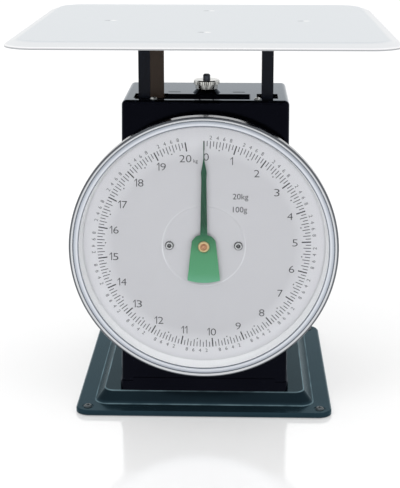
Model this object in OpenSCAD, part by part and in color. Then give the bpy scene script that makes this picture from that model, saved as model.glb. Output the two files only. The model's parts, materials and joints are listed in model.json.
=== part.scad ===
// Mechanical platform scale with a round dial, in millimetres.
// The origin is on the ground under the middle of the weighing pan: +X right, +Y back, +Z up.

/* [Weighing pan] */
// Side length of the square pan
pan_w = 290; // [250:2:330]
// Corner radius of the pan
pan_corner_r = 25; // [16:1:40]
// Sheet thickness of the pan
pan_sheet = 1.2; // [0.8:0.1:2]
// How far the bevelled lip runs outward
pan_lip_run = 10; // [6:0.5:14]
// How far the bevelled lip drops
pan_lip_drop = 3.6; // [2:0.2:6]
// Reach of each arm of the cross bracket under the pan
bracket_reach = 86; // [70:1:110]
// Width of the bracket's arms
bracket_w = 22; // [16:1:30]
// Height of the bracket's channel section
bracket_h = 9; // [7:0.5:14]

/* [Posts] */
// Height from the body's top to the underside of the bracket
post_rise = 48; // [40:1:70]
// Width of each post's front face
post_w = 9.4; // [8:0.2:12]
// Depth of each post's channel section
post_d = 12; // [10:0.5:14]
// Sheet thickness of the posts and the bracket
post_sheet = 2; // [1.5:0.1:2.5]
// Distance from the body's side to a post's outer face
post_inset = 12.55; // [12:0.05:14]
// Visible width of the bronze-coloured angle beside the left post
angle_w = 11.2; // [8:0.2:12]
// Thickness of that angle
angle_sheet = 1.6; // [1.2:0.1:2]

/* [Body] */
// Width of the body
body_w = 133.5; // [126:0.5:150]
// Depth of the body at its top
body_top_d = 94; // [92:1:104]
// Depth of the body at its foot
body_foot_d = 158; // [140:1:160]
// Height of the body above the base's raised middle
body_h = 231.3; // [225:0.1:250]
// Sheet thickness of the body and its covers
body_sheet = 1.2; // [0.8:0.1:1.6]
// Radius of the body's folded edges
body_edge_r = 4; // [3:0.5:6]
// Height of the folded strip along the body's foot
skirt_h = 10; // [6:0.5:14]

/* [Base] */
// Side length of the square base
base_w = 204; // [198:1:230]
// Corner radius of the base
base_corner_r = 11; // [8:0.5:16]
// Height of the flat flange above the ground
flange_z = 4.5; // [4:0.1:6]
// Width of the flat flange
flange_w = 14; // [13:0.5:16]
// Height of the raised middle above the flange
plateau_h = 9; // [7:0.5:14]
// Horizontal run of the slope up to the raised middle
slope_run = 7.5; // [5:0.5:8]
// Sheet thickness of the base
base_sheet = 1.2; // [1:0.1:1.6]
// Gap under the base's turned-down rim
rim_gap = 0.8; // [0.5:0.1:1.2]
// Radius of each rubber foot
foot_r = 6.5; // [5:0.5:7.5]

/* [Dial] */
// Height of the dial's centre above the base's raised middle
dial_rise = 123.7; // [118:0.1:130]
// Distance of the bezel's front edge from the pan's centre line
dial_front = 100; // [98:0.5:106]
// Outer radius of the bezel
bezel_r = 104.3; // [100:0.1:110]
// Width of the bezel's rolled bead
bead_w = 3.2; // [3:0.1:4]
// Width of the bezel's crowned band between the bead and its inner edge
band_w = 4.4; // [3.5:0.1:5]
// Sheet thickness of the bezel
bezel_sheet = 0.8; // [0.6:0.1:1]
// Depth of the bezel's skirt behind the middle of its bead
bezel_skirt = 7.8; // [7:0.2:9]
// Thickness of the clear lens
lens_t = 1.5; // [1.2:0.1:1.8]
// Depth of the dial case from the lens down to its floor
case_depth = 10.3; // [10:0.1:12]
// Thickness of the printed dial plate
plate_t = 0.8; // [0.6:0.1:1]
// Radius of the dished middle of the dial plate
dish_r = 32.5; // [31:0.5:36]
// Depth of that dish
dish_depth = 0.3; // [0.2:0.05:0.4]
// Distance of each dial screw from the centre
dial_screw_x = 26.9; // [25:0.1:30]
// Radius of the stand-offs that carry the dial
standoff_r = 3.4; // [3:0.1:4]

/* [Pointer] */
// Length of the needle from the centre to its tip
needle_len = 83; // [70:1:88]
// Length of the counterweight paddle behind the centre
paddle_len = 29.5; // [26:0.5:34]
// Width of the paddle at its free end
paddle_w = 25.5; // [22:0.5:30]
// Thickness of the needle
needle_t = 0.6; // [0.5:0.1:0.8]
// Height of the ridge along the needle's bar
ridge_h = 0.5; // [0.3:0.1:0.8]
// Radius of the brass hub
hub_r = 4.5; // [4:0.1:5]
// Radius of the pointer's arbor
arbor_r = 1.5; // [1.2:0.1:1.8]

/* [Rack and pinion] */
// Number of teeth on the pinion
pinion_teeth = 14; // [13:1:16]
// Module of the rack and pinion
tooth_module = 0.5; // [0.48:0.01:0.55]
// Turn of the needle from no load to full load, in degrees
sweep = 350; // [330:1:355]
// Width of the pinion's face
pinion_w = 8; // [7:0.5:8.5]
// Width of the rack bar
rack_w = 5.4; // [4.5:0.1:7]
// Thickness of the rack bar
rack_t = 4; // [3:0.1:4.2]

/* [Springs and links] */
// Mean radius of the spring coils
coil_r = 8; // [7:0.5:9]
// Radius of the spring wire
wire_r = 1.4; // [1.2:0.1:1.5]
// Number of coils in each spring
coils = 28; // [24:1:30]
// Distance of each spring from the centre line
spring_x = 24; // [23:0.5:28]
// Height of the crossbar above the base's raised middle at no load
crossbar_rise = 46.5; // [44:0.5:60]
// Height of the lower link's pivot above the crossbar at no load
lower_link_rise = 15; // [14:0.5:18]
// Distance of the spring yoke below the body's top
yoke_drop = 54; // [50:0.5:60]
// Distance from a link's pivot to its pin on the post
link_span = 37; // [34:0.5:38]
// Thickness of the link arms
link_t = 1.6; // [1.2:0.1:1.8]
// Distance of the upper link's pivot below the body's top
upper_link_drop = 34.8; // [32:0.2:38]
// Radius of the pivot rods of the links
rod_r = 2.5; // [2:0.1:2.8]
// Outer radius of the sleeve that turns on each pivot rod
sleeve_r = 4; // [3.8:0.1:4.5]

/* [Zero adjuster] */
// Distance of the adjuster behind the pan's centre line (negative is in front)
zero_y = -5; // [-6:0.5:-4]
// Radius of the knurled nut
knob_r = 10.6; // [9:0.1:12]
// Height of the knurled nut
knob_h = 7.2; // [6:0.2:8]
// Radius of the threaded stud
stud_r = 3; // [2.5:0.1:3.5]
// Length of stud that stands above the nut
stud_above = 4.6; // [3:0.2:6]

/* [Fasteners] */
// Radius of the small screws' shanks
small_shank_r = 1.5; // [1.3:0.1:1.7]
// Radius of the small screws' heads
small_head_r = 2.8; // [2.4:0.1:3.2]
// Height of the small screws' heads
small_head_h = 1.6; // [1.2:0.1:1.8]
// Length of the frame's and the cover's screws
frame_screw_len = 5; // [4:0.5:5.5]
// Radius of the shanks of the base's and the feet's screws
frame_screw_r = 2; // [1.8:0.1:2.2]
// Radius of the heads of the base's, the feet's and the dial's screws
large_head_r = 3.4; // [3:0.1:3.8]
// Length of the base's screws past the sheet
base_screw_grip = 3.5; // [3:0.1:3.8]
// Length of the dial's screws
dial_screw_len = 7; // [6:0.5:7.5]

/* [Hidden] */
$fn = 48;

// Clearances
run_gap = 0.04;
slide_gap = 0.1;
fit_gap = 0.02;
soft_gap = 0.3;
screw_gap = 0.1;
eps = 0.01;
// Length of cuts that go right through
through = 2 * base_w;

// Heights of the stack, from the ground up
plateau_z = flange_z + plateau_h;
body_top_z = plateau_z + body_h;
bracket_z = body_top_z + post_rise;
pan_under_z = bracket_z + bracket_h;
pan_top_z = pan_under_z + pan_sheet;
ceiling_z = body_top_z - body_sheet;
dial_z = plateau_z + dial_rise;
crossbar_z = plateau_z + crossbar_rise;

// Slope of the body's front and back, and the walls' distance from the centre at a height
lean = atan((body_foot_d - body_top_d) / 2 / body_h);
function wall_y(z) = body_top_d / 2 + (body_top_z - z) * tan(lean);

// Posts
post_outer_x = body_w / 2 - post_inset;
post_inner_x = post_outer_x - post_w;
post_front_y = -31;
post_mid_y = post_front_y + post_d / 2;
post_back_y = post_front_y + post_d;

// Inner frame: two upright plates, in front of and behind the carriage
link_y = post_mid_y + link_span;
frame_sheet = 2;
frame_x = body_w / 2 - 6.75;
frame_gap = 2;
front_plate_y = post_front_y - frame_gap - frame_sheet;
rear_plate_y = link_y + sleeve_r + 4;
frame_flange = 20;
frame_screw_x = 40;
window_r = 12;
front_window = [64, 44];
rear_window = [76, 96];
bridge_w = 32;
bridge_t = 3;
bridge_tab = 15;
bridge_rib = 10;

// Post openings in the body's top
opening_front_y = post_front_y - 5;
opening_back_y = post_back_y + 6;
opening_side = 3.8;
top_screw_x = 41.5;
top_screw_y = opening_front_y - 4.5;

// Dial stack, as distances in front of the centre line
bead_r = bead_w / 2;
bead_mid_r = bezel_r - bead_r;
bead_s = dial_front - bead_r;
lens_front = dial_front - 1.7;
lens_back = lens_front - lens_t;
case_floor = lens_back - case_depth;
case_sheet = 1.2;
case_bevel = 5.3;
hem_w = 2.5;
case_back = case_floor - case_sheet;
case_r = bezel_r - bezel_sheet - hem_w;
case_corner_r = case_r - case_bevel;
dial_plate_r = case_corner_r - case_sheet - 0.5;
needle_s = case_floor + plate_t + 2.3;

// Rack and pinion
pitch_r = pinion_teeth * tooth_module / 2;
tooth_pitch = PI * tooth_module;
travel = sweep * PI / 180 * pitch_r;
backlash = 0.12;
rack_overrun = 5;
rack_count = ceil((travel + 2 * rack_overrun) / tooth_pitch);
rack_front_y = post_front_y + post_sheet;
pinion_front_y = rack_front_y + (rack_t - pinion_w) / 2;
movement_y = post_back_y + 0.5;
movement_sheet = 1.5;
pillar_x = 22;
pillar_z = 12;
pillar_r = 3;

// Springs, yoke and eye bolts
eye_r = 4;
eye_wire_r = 1.2;
eye_shank_r = 1.6;
eye_drop = 8;
yoke_z = body_top_z - yoke_drop;
yoke_h = 6;
yoke_d = 14;
yoke_reach = spring_x + 9;
crossbar_sheet = 2;
crossbar_flange = 12;
crossbar_reach = 10;
crossbar_back_y = zero_y + crossbar_reach;
upper_eye_z = yoke_z - eye_drop;
lower_eye_z = crossbar_z + crossbar_sheet + eye_drop;
hook_reach = (coil_r - wire_r) + (eye_r - eye_wire_r) - soft_gap;
spring_top_z = upper_eye_z - hook_reach;
spring_foot_z = lower_eye_z + hook_reach;

// Links, level at half of the travel
link_tilt = atan(travel / 2 / link_span);
upper_link_z = body_top_z - upper_link_drop;
lower_link_z = crossbar_z + lower_link_rise;
link_pin_r = 2;
link_pin_reach = 4;
link_x = post_outer_x + 1;
ear_x = link_x + link_t + 0.7;
ear_sheet = 2;
ear_h = 18;
ear_front = 6;

// Zero adjuster
bush_h = 3.2;
knob_z = body_top_z + bush_h + 0.2;
stud_top_z = knob_z + knob_h + stud_above;

// Flat rounded square, true arcs at its corners
module rounded_square(w, d, r) {
    square([w - 2 * r, d], center = true);
    square([w, d - 2 * r], center = true);
    for (sx = [-1, 1], sy = [-1, 1])
        translate([sx * (w / 2 - r), sy * (d / 2 - r)]) circle(r);
}

module slab(w, d, r, z0, z1) {
    translate([0, 0, z0]) linear_extrude(z1 - z0) rounded_square(w, d, r);
}

// Block between two corners
module block(low, high) {
    translate(low) cube(high - low);
}

// Rods along the axes, between two places on the axis
module x_rod(r, x0, x1) {
    translate([x0, 0, 0]) rotate([0, 90, 0]) cylinder(r = r, h = x1 - x0);
}

module y_rod(r, y0, y1) {
    translate([0, y1, 0]) rotate([90, 0, 0]) cylinder(r = r, h = y1 - y0);
}

module z_rod(r, z0, z1) {
    translate([0, 0, z0]) cylinder(r = r, h = z1 - z0);
}

module both_sides() {
    children();
    mirror([1, 0, 0]) children();
}

module four_corners(x, y) {
    for (sx = [-1, 1], sy = [-1, 1]) translate([sx * x, sy * y, 0]) children();
}

// Turned about the dial's axis: profile points are [radius, distance in front of the centre line]
module turned_dial() {
    translate([0, 0, dial_z]) rotate([90, 0, 0]) rotate_extrude($fn = 128) children();
}

// Pan-head screw standing on z = 0 with its shank below
module screw(head_r, head_h, shank_r, length) {
    difference() {
        union() {
            cylinder(r = head_r, h = head_h * 0.45);
            translate([0, 0, head_h * 0.45]) cylinder(r1 = head_r, r2 = head_r * 0.72, h = head_h * 0.55);
        }
        for (turn = [0, 90]) rotate(turn)
            block([-head_r * 0.5, -head_r * 0.17, head_h * 0.4], [head_r * 0.5, head_r * 0.17, head_h * 2]);
    }
    translate([0, 0, -length]) cylinder(r = shank_r, h = length);
}

// Base: pressed sheet with a turned-down rim, a flat flange and a raised middle
foot_xy = base_w / 2 - base_corner_r + 1.5;
foot_seat = 0.35;
foot_seat_r = 4.6;

module raised_form(inset, low_z, high_z) {
    foot_w = base_w - 2 * flange_w - 2 * inset;
    top_w = foot_w - 2 * slope_run;
    hull() {
        slab(foot_w, foot_w, base_corner_r - inset, low_z, low_z + eps);
        slab(top_w, top_w, base_corner_r * 0.7 - inset, high_z - eps, high_z);
    }
}

module base_pan() {
    rim_bevel = 1.1;
    color([0.09, 0.16, 0.18]) difference() {
        union() {
            slab(base_w, base_w, base_corner_r, rim_gap, flange_z - rim_bevel);
            hull() {
                slab(base_w, base_w, base_corner_r, flange_z - rim_bevel - eps, flange_z - rim_bevel);
                slab(base_w - 2 * rim_bevel, base_w - 2 * rim_bevel, base_corner_r - rim_bevel,
                     flange_z - eps, flange_z);
            }
            raised_form(0, flange_z - eps, plateau_z);
        }
        slab(base_w - 2 * base_sheet, base_w - 2 * base_sheet, base_corner_r - base_sheet,
             -eps, flange_z - base_sheet);
        raised_form(base_sheet, flange_z - base_sheet - eps, plateau_z - base_sheet);
        four_corners(foot_xy, foot_xy) {
            z_rod(frame_screw_r + screw_gap, 0, flange_z + 1);
            z_rod(foot_seat_r, flange_z - foot_seat, flange_z + 1);
        }
        base_screw_places() z_rod(frame_screw_r + screw_gap, plateau_z - 3, plateau_z + 1);
    }
}

module rubber_feet() {
    bevel_h = 1.2;
    color([0.06, 0.06, 0.06]) four_corners(foot_xy, foot_xy) difference() {
        union() {
            cylinder(r1 = foot_r - 0.8, r2 = foot_r, h = bevel_h);
            z_rod(foot_r, bevel_h - eps, flange_z - base_sheet);
        }
        z_rod(frame_screw_r + screw_gap, 1, flange_z);
    }
}

module foot_screws() {
    color([0.25, 0.3, 0.31]) four_corners(foot_xy, foot_xy) translate([0, 0, flange_z - foot_seat])
        screw(large_head_r, small_head_h, frame_screw_r, 2.6);
}

// Places of the screws that hold the frame and the body to the base
module base_screw_places() {
    for (sx = [-1, 1]) {
        for (plate_y = [front_plate_y, rear_plate_y])
            translate([sx * frame_screw_x, plate_y + frame_sheet + frame_flange / 2, 0]) children();
        for (sy = [-1, 1]) translate([sx * tab_x, sy * tab_y, 0]) children();
    }
}

module base_screws() {
    under_z = plateau_z - base_sheet;
    color([0.6, 0.6, 0.6]) base_screw_places() translate([0, 0, under_z]) mirror([0, 0, 1])
        screw(large_head_r, small_head_h, frame_screw_r, base_sheet + base_screw_grip);
}

// Body: one folded shell with a sloping front, sides and top, open at the back
tab_w = 13;
tab_x = body_w / 2 - body_sheet - tab_w / 2;
tab_y = 52;
slope_len = body_h / cos(lean);
rear_edge = 12;
standoff_clear = 1.2;
slot = [10, 2.4];
slot_x = 26.5;
crease_in = 9.5;
crease_step = 0.73;

// Balls along the body's edges, grown so that their flats reach the true radius
ball_sides = 32;
ball_turn = 180 / ball_sides;
ball_reach = cos(lean - ball_turn) / cos(ball_turn);

module body_form(inset) {
    r = body_edge_r;
    low_z = plateau_z - 12;
    hull() for (sx = [-1, 1], sy = [-1, 1], z = [low_z, body_top_z - r])
        translate([sx * (body_w / 2 - r), sy * (wall_y(z) - r * ball_reach / cos(lean)), z])
            sphere((r - inset) / cos(ball_turn), $fn = ball_sides);
}

// Local frame of the sloping back: +Y points out of it, -Z runs down it from the top edge
module on_rear_face() {
    translate([0, body_top_d / 2, body_top_z]) rotate([lean, 0, 0]) children();
}

module rear_panel(w, top, foot, y0, y1, r) {
    h = slope_len - top - foot;
    translate([0, y1, -top - h / 2]) rotate([90, 0, 0]) linear_extrude(y1 - y0) rounded_square(w, h, r);
}

module body_shell() {
    skirt_t = 1;
    color([0.05, 0.055, 0.075]) difference() {
        union() {
            difference() {
                union() {
                    body_form(0);
                    intersection() {
                        body_form(-skirt_t);
                        union() {
                            block([-body_w / 2 + crease_in, -through, 0],
                                  [body_w / 2 - crease_in, 0, plateau_z + skirt_h]);
                            block([-through, -through, 0], [through, 0, plateau_z + skirt_h * crease_step]);
                        }
                    }
                }
                body_form(body_sheet);
                on_rear_face() rear_panel(body_w - 2 * rear_edge, rear_edge + 3, rear_edge, -6, 6, 5);
            }
            for (sx = [-1, 1], sy = [-1, 1])
                translate([sx * tab_x, sy * tab_y, 0])
                    block([-tab_w / 2 - eps, -9, plateau_z], [tab_w / 2 + eps, 9, plateau_z + body_sheet]);
        }
        block([-through, -through, -through], [through, through, plateau_z]);
        block([post_inner_x - opening_side, opening_front_y, ceiling_z - 2],
              [post_outer_x + opening_side, opening_back_y, body_top_z + 2]);
        block([-post_outer_x - opening_side, opening_front_y, ceiling_z - 2],
              [angle_inner_x + 2.4, opening_back_y, body_top_z + 2]);
        for (sx = [-1, 1])
            translate([sx * slot_x, zero_y, ceiling_z]) cube([slot.x, slot.y, 6], center = true);
        translate([0, zero_y, 0]) z_rod(bush_r + fit_gap, ceiling_z - 2, body_top_z + 2);
        for (sx = [-1, 1]) translate([sx * top_screw_x, top_screw_y, 0])
            z_rod(small_shank_r + screw_gap, ceiling_z - 2, body_top_z + 2);
        translate([0, 0, dial_z]) {
            y_rod(9, -body_foot_d, 0);
            for (sx = [-1, 1])
                translate([sx * dial_screw_x, 0, 0]) y_rod(standoff_r + standoff_clear, -body_foot_d, 0);
        }
        four_corners(tab_x, tab_y) z_rod(frame_screw_r + screw_gap, plateau_z - 1, plateau_z + 4);
        on_rear_face() rear_screw_places() y_rod(small_shank_r + screw_gap, -6, 6);
    }
}

// Rear cover: flat sheet with a turned-in stiffening rib, over the opening in the back
module rear_screw_places() {
    for (sx = [-1, 1], share = [0.03, 0.5, 0.97])
        translate([sx * (body_w / 2 - rear_edge / 2 - 1.5), 0, -9 - share * (slope_len - 16)]) children();
}

module rear_cover() {
    margin = 4.5;
    color([0.05, 0.055, 0.075]) on_rear_face() difference() {
        union() {
            rear_panel(body_w - 2 * margin, margin + 0.5, margin - 1, 0, body_sheet, 4);
            rear_panel(body_w - 2 * rear_edge - 1, rear_edge + 3.5, rear_edge + 0.5,
                       -body_sheet * 1.6, eps, 4.5);
        }
        rear_panel(body_w - 2 * rear_edge - 4, rear_edge + 5, rear_edge + 2, -6, 0, 3);
        rear_screw_places() y_rod(small_shank_r + screw_gap, -6, 6);
    }
}

module rear_cover_screws() {
    color([0.65, 0.66, 0.66]) on_rear_face() rear_screw_places()
        translate([0, body_sheet, 0]) rotate([-90, 0, 0])
            screw(small_head_r, small_head_h, small_shank_r, frame_screw_len - 1);
}

module top_screws() {
    color([0.75, 0.75, 0.74]) for (sx = [-1, 1])
        translate([sx * top_screw_x, top_screw_y, body_top_z])
            screw(small_head_r, small_head_h, small_shank_r, body_sheet + frame_sheet + 1);
}

// Front frame plate: carries the pointer's front bearing, the dial's stand-offs and the body's top
module front_frame_plate() {
    y0 = front_plate_y;
    y1 = y0 + frame_sheet;
    flange_front = top_screw_y - 3;
    window_rise = 62;
    color([0.5, 0.52, 0.52]) difference() {
        union() {
            block([-frame_x, y0, plateau_z], [frame_x, y1, ceiling_z]);
            block([-frame_x, y1 - eps, plateau_z], [frame_x, y1 + frame_flange, plateau_z + frame_sheet]);
            block([-frame_x + 8, flange_front, ceiling_z - frame_sheet], [frame_x - 8, y0 + eps, ceiling_z]);
        }
        translate([0, 0, dial_z]) {
            y_rod(front_bush_r + fit_gap, y0 - 1, y1 + 1);
            for (sx = [-1, 1])
                translate([sx * dial_screw_x, 0, 0]) y_rod(small_shank_r + screw_gap, y0 - 1, y1 + 1);
            for (sx = [-1, 1], sz = [-1, 1])
                translate([sx * pillar_x, 0, sz * pillar_z]) y_rod(small_shank_r + screw_gap, y0 - 1, y1 + 1);
            for (sz = [-1, 1]) translate([0, 0, sz * window_rise]) window(front_window);
        }
        for (sx = [-1, 1]) {
            translate([sx * top_screw_x, top_screw_y, 0])
                z_rod(small_shank_r + screw_gap, ceiling_z - 4, ceiling_z + 2);
            translate([sx * frame_screw_x, y1 + frame_flange / 2, 0])
                z_rod(frame_screw_r + screw_gap, plateau_z - 1, plateau_z + 4);
            translate([sx * bridge_w / 4, 0, bridge_screw_z])
                y_rod(small_shank_r + screw_gap, y0 - 1, y1 + 1);
        }
    }
}

// Lightening window through a frame plate
module window(size) {
    rotate([90, 0, 0]) linear_extrude(through, center = true) rounded_square(size.x, size.y, window_r);
}

// Rear frame plate: folded ears carry the pivot rods of the links
module rear_frame_plate() {
    y0 = rear_plate_y;
    y1 = y0 + frame_sheet;
    color([0.5, 0.52, 0.52]) difference() {
        union() {
            block([-ear_x - ear_sheet, y0, plateau_z], [ear_x + ear_sheet, y1, ceiling_z]);
            block([-ear_x - ear_sheet, y1 - eps, plateau_z],
                  [ear_x + ear_sheet, y1 + frame_flange, plateau_z + frame_sheet]);
            both_sides() for (z = [upper_link_z, lower_link_z])
                block([ear_x, link_y - ear_front, z - ear_h / 2],
                      [ear_x + ear_sheet, y0 + eps, z + ear_h / 2]);
        }
        for (z = [upper_link_z, lower_link_z]) translate([0, link_y, z])
            x_rod(rod_r + fit_gap, -ear_x - ear_sheet - 1, ear_x + ear_sheet + 1);
        translate([0, 0, (upper_link_z + lower_link_z) / 2]) window(rear_window);
        for (sx = [-1, 1]) {
            translate([sx * frame_screw_x, y1 + frame_flange / 2, 0])
                z_rod(frame_screw_r + screw_gap, plateau_z - 1, plateau_z + 4);
            translate([sx * bridge_w / 4, 0, bridge_screw_z])
                y_rod(small_shank_r + screw_gap, y0 - 1, y1 + 1);
        }
    }
}

// Top bridge between the frame plates: ribbed bar under the body's top that carries the springs' load
bridge_front_y = front_plate_y + frame_sheet;
bridge_screw_z = ceiling_z - bridge_t - bridge_tab / 2;

module top_bridge() {
    under_z = ceiling_z - bridge_t;
    rib_t = 2;
    color([0.5, 0.52, 0.52]) difference() {
        union() {
            block([-bridge_w / 2, bridge_front_y, under_z], [bridge_w / 2, rear_plate_y, ceiling_z]);
            both_sides() block([bridge_w / 2 - rib_t, bridge_front_y, ceiling_z - bridge_rib],
                               [bridge_w / 2, rear_plate_y, ceiling_z]);
            for (y = [bridge_front_y, rear_plate_y - rib_t])
                block([-bridge_w / 2, y, under_z - bridge_tab], [bridge_w / 2, y + rib_t, ceiling_z]);
        }
        translate([0, zero_y, 0]) z_rod(bush_r + fit_gap, under_z - 1, ceiling_z + 1);
        for (sx = [-1, 1]) translate([sx * bridge_w / 4, 0, bridge_screw_z])
            y_rod(small_shank_r + screw_gap, bridge_front_y - 1, rear_plate_y + 1);
    }
}

module frame_screws() {
    color([0.7, 0.7, 0.68]) for (sx = [-1, 1]) translate([sx * bridge_w / 4, 0, bridge_screw_z]) {
        translate([0, front_plate_y, 0]) rotate([90, 0, 0])
            screw(small_head_r, small_head_h, small_shank_r, frame_screw_len);
        translate([0, rear_plate_y + frame_sheet, 0]) rotate([-90, 0, 0])
            screw(small_head_r, small_head_h, small_shank_r, frame_screw_len);
    }
}

// Zero bush: flared black boss on the body's top that guides the stud
bush_r = 5;

module zero_bush() {
    color([0.04, 0.04, 0.045]) translate([0, zero_y, 0]) difference() {
        union() {
            translate([0, 0, body_top_z]) cylinder(r1 = knob_r + 0.9, r2 = knob_r - 2.2, h = bush_h);
            z_rod(bush_r, ceiling_z - bridge_t, body_top_z + eps);
        }
        z_rod(stud_r + slide_gap, ceiling_z - bridge_t - 1, body_top_z + bush_h + 1);
    }
}

// Movement: a second bearing plate on four pillars behind the front frame plate
module movement_plate() {
    color([0.72, 0.6, 0.33]) translate([0, movement_y, dial_z]) difference() {
        translate([0, movement_sheet, 0]) rotate([90, 0, 0])
            linear_extrude(movement_sheet) rounded_square(2 * pillar_x + 10, 2 * pillar_z + 10, 4);
        y_rod(rear_bush_r + fit_gap, -1, movement_sheet + 1);
        for (sx = [-1, 1], sz = [-1, 1])
            translate([sx * pillar_x, 0, sz * pillar_z])
                y_rod(small_shank_r + screw_gap, -1, movement_sheet + 1);
    }
}

module movement_pillars() {
    color([0.7, 0.7, 0.68]) translate([0, 0, dial_z]) for (sx = [-1, 1], sz = [-1, 1])
        translate([sx * pillar_x, 0, sz * pillar_z]) {
            y_rod(pillar_r, bridge_front_y, movement_y);
            y_rod(small_shank_r, front_plate_y - 1, movement_y + movement_sheet + 0.8);
            y_rod(pillar_r - 0.4, movement_y + movement_sheet, movement_y + movement_sheet + 1.2);
            y_rod(pillar_r - 0.4, front_plate_y - 1.2, front_plate_y);
        }
}

front_bush_r = 3.5;
rear_bush_r = 3;

module bearing_bush(outer_r, flange_r, y0, y1, flange_y0, flange_y1) {
    color([0.78, 0.6, 0.3]) translate([0, 0, dial_z]) difference() {
        union() {
            y_rod(outer_r, y0, y1);
            y_rod(flange_r, flange_y0, flange_y1);
        }
        y_rod(arbor_r + run_gap, -through, through);
    }
}

module front_bush() {
    bearing_bush(front_bush_r, front_bush_r + 2, front_plate_y - 2.5, bridge_front_y,
                 front_plate_y - 1.5, front_plate_y);
}

module rear_bush() {
    back = movement_y + movement_sheet;
    bearing_bush(rear_bush_r, rear_bush_r + 1.2, movement_y, back + 0.8, back, back + 0.8);
}

// Dial assembly
module dial_standoffs() {
    color([0.7, 0.7, 0.68]) for (sx = [-1, 1]) translate([sx * dial_screw_x, 0, dial_z]) {
        difference() {
            y_rod(standoff_r, -case_back, front_plate_y);
            y_rod(small_shank_r + screw_gap, -case_back - 1, -case_back + dial_screw_len);
        }
        y_rod(small_shank_r, front_plate_y - eps, bridge_front_y + 1.4);
    }
}

module dial_case() {
    rim = lens_back;
    color([0.92, 0.92, 0.9]) difference() {
        turned_dial() polygon([
            [0, case_back], [case_corner_r, case_back], [case_r, case_back + case_bevel], [case_r, rim],
            [case_r - case_sheet, rim], [case_r - case_sheet, case_back + case_bevel + case_sheet * 0.4],
            [case_corner_r - case_sheet * 0.4, case_floor], [0, case_floor]
        ]);
        translate([0, 0, dial_z]) {
            y_rod(6, -through, 0);
            for (sx = [-1, 1])
                translate([sx * dial_screw_x, 0, 0]) y_rod(small_shank_r + screw_gap, -through, 0);
        }
    }
}

module dial_plate() {
    color([0.83, 0.84, 0.85]) translate([0, 0, dial_z]) difference() {
        y_rod(dial_plate_r, -case_floor - plate_t, -case_floor, $fn = 128);
        translate([0, -case_floor - plate_t, 0]) rotate([-90, 0, 0])
            cylinder(r1 = dish_r, r2 = dish_r - 5 * dish_depth, h = dish_depth, $fn = 128);
        y_rod(4, -through, 0);
        for (sx = [-1, 1]) translate([sx * dial_screw_x, 0, 0]) y_rod(small_shank_r + screw_gap, -through, 0);
    }
}

module dial_screws() {
    color([0.6, 0.61, 0.6]) translate([0, -case_floor - plate_t + dish_depth, dial_z])
        for (sx = [-1, 1]) translate([sx * dial_screw_x, 0, 0])
            rotate([90, 0, 0]) screw(large_head_r, small_head_h + 0.2, small_shank_r, dial_screw_len);
}

// Bezel: rolled bead and crowned band over the lens, with a skirt and a hem that grips the case
module bezel_ring() {
    groove_s = lens_front + 0.5;
    band_crown = 0.6;
    bead_steps = 16;
    band_steps = 8;
    hollow_r = bead_r - bezel_sheet;
    hem_s = bead_s - bezel_skirt;
    bead_end = 180 - asin((groove_s - bead_s) / bead_r);
    hollow_end = 180 - asin((lens_front - bead_s) / hollow_r);
    band_inner_r = bezel_r - bead_w - band_w;
    band_outer_r = bead_mid_r + bead_r * cos(bead_end);
    band_half = (band_outer_r - band_inner_r) / 2;
    band_bend_r = (pow(band_half, 2) + pow(band_crown, 2)) / 2 / band_crown;
    band_turn = asin(band_half / band_bend_r);
    color([0.86, 0.87, 0.88]) turned_dial() polygon(concat(
        [[bezel_r, hem_s]],
        [for (i = [0:bead_steps]) let(a = bead_end * i / bead_steps)
            [bead_mid_r + bead_r * cos(a), bead_s + bead_r * sin(a)]],
        [for (i = [1:band_steps]) let(a = band_turn * (1 - 2 * i / band_steps))
            [band_inner_r + band_half + band_bend_r * sin(a),
             groove_s + band_crown - band_bend_r * (1 - cos(a))]],
        [[band_inner_r, lens_front]],
        [for (i = [0:bead_steps]) let(a = hollow_end * (1 - i / bead_steps))
            [bead_mid_r + hollow_r * cos(a), bead_s + hollow_r * sin(a)]],
        [[bezel_r - bezel_sheet, hem_s + bezel_sheet], [case_r + fit_gap, hem_s + bezel_sheet],
         [case_r + fit_gap, hem_s]]
    ));
}

module lens() {
    color([0.9, 0.95, 1, 0.25]) translate([0, 0, dial_z])
        y_rod(case_r - 0.2, -lens_front, -lens_back, $fn = 128);
}

// Weighing pan: flat sheet with a bevelled lip all round
module pan_form(inset, high_z, low_z) {
    flat_w = pan_w - 2 * pan_lip_run;
    hull() {
        slab(flat_w, flat_w, pan_corner_r - pan_lip_run / 2, high_z - eps, high_z);
        slab(pan_w - 2 * inset, pan_w - 2 * inset, pan_corner_r - inset, low_z, low_z + eps);
    }
}

module weighing_pan() {
    lip_z = pan_top_z - pan_lip_drop;
    hem = 1.6;
    spot_r = 9;
    spot_depth = 0.3;
    color([0.88, 0.89, 0.9]) difference() {
        union() {
            pan_form(0, pan_top_z, lip_z - eps);
            slab(pan_w, pan_w, pan_corner_r, lip_z - hem, lip_z);
        }
        pan_form(pan_sheet, pan_under_z, lip_z - pan_sheet);
        slab(pan_w - 2 * pan_sheet, pan_w - 2 * pan_sheet, pan_corner_r - pan_sheet,
             lip_z - hem - 1, lip_z - pan_sheet + eps);
        spot_places() translate([0, 0, pan_top_z + spot_r - spot_depth]) sphere(spot_r, $fn = 64);
    }
}

// Four spots where the pan is welded to the bracket's arms
module spot_places() {
    for (turn = [0:90:270]) rotate(turn) translate([bracket_reach - 7, 0, 0]) children();
}

// Pan bracket: a plus of channel section with an ear for each post
module plus(reach, w) {
    square([2 * reach, w], center = true);
    square([w, 2 * reach], center = true);
}

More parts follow.
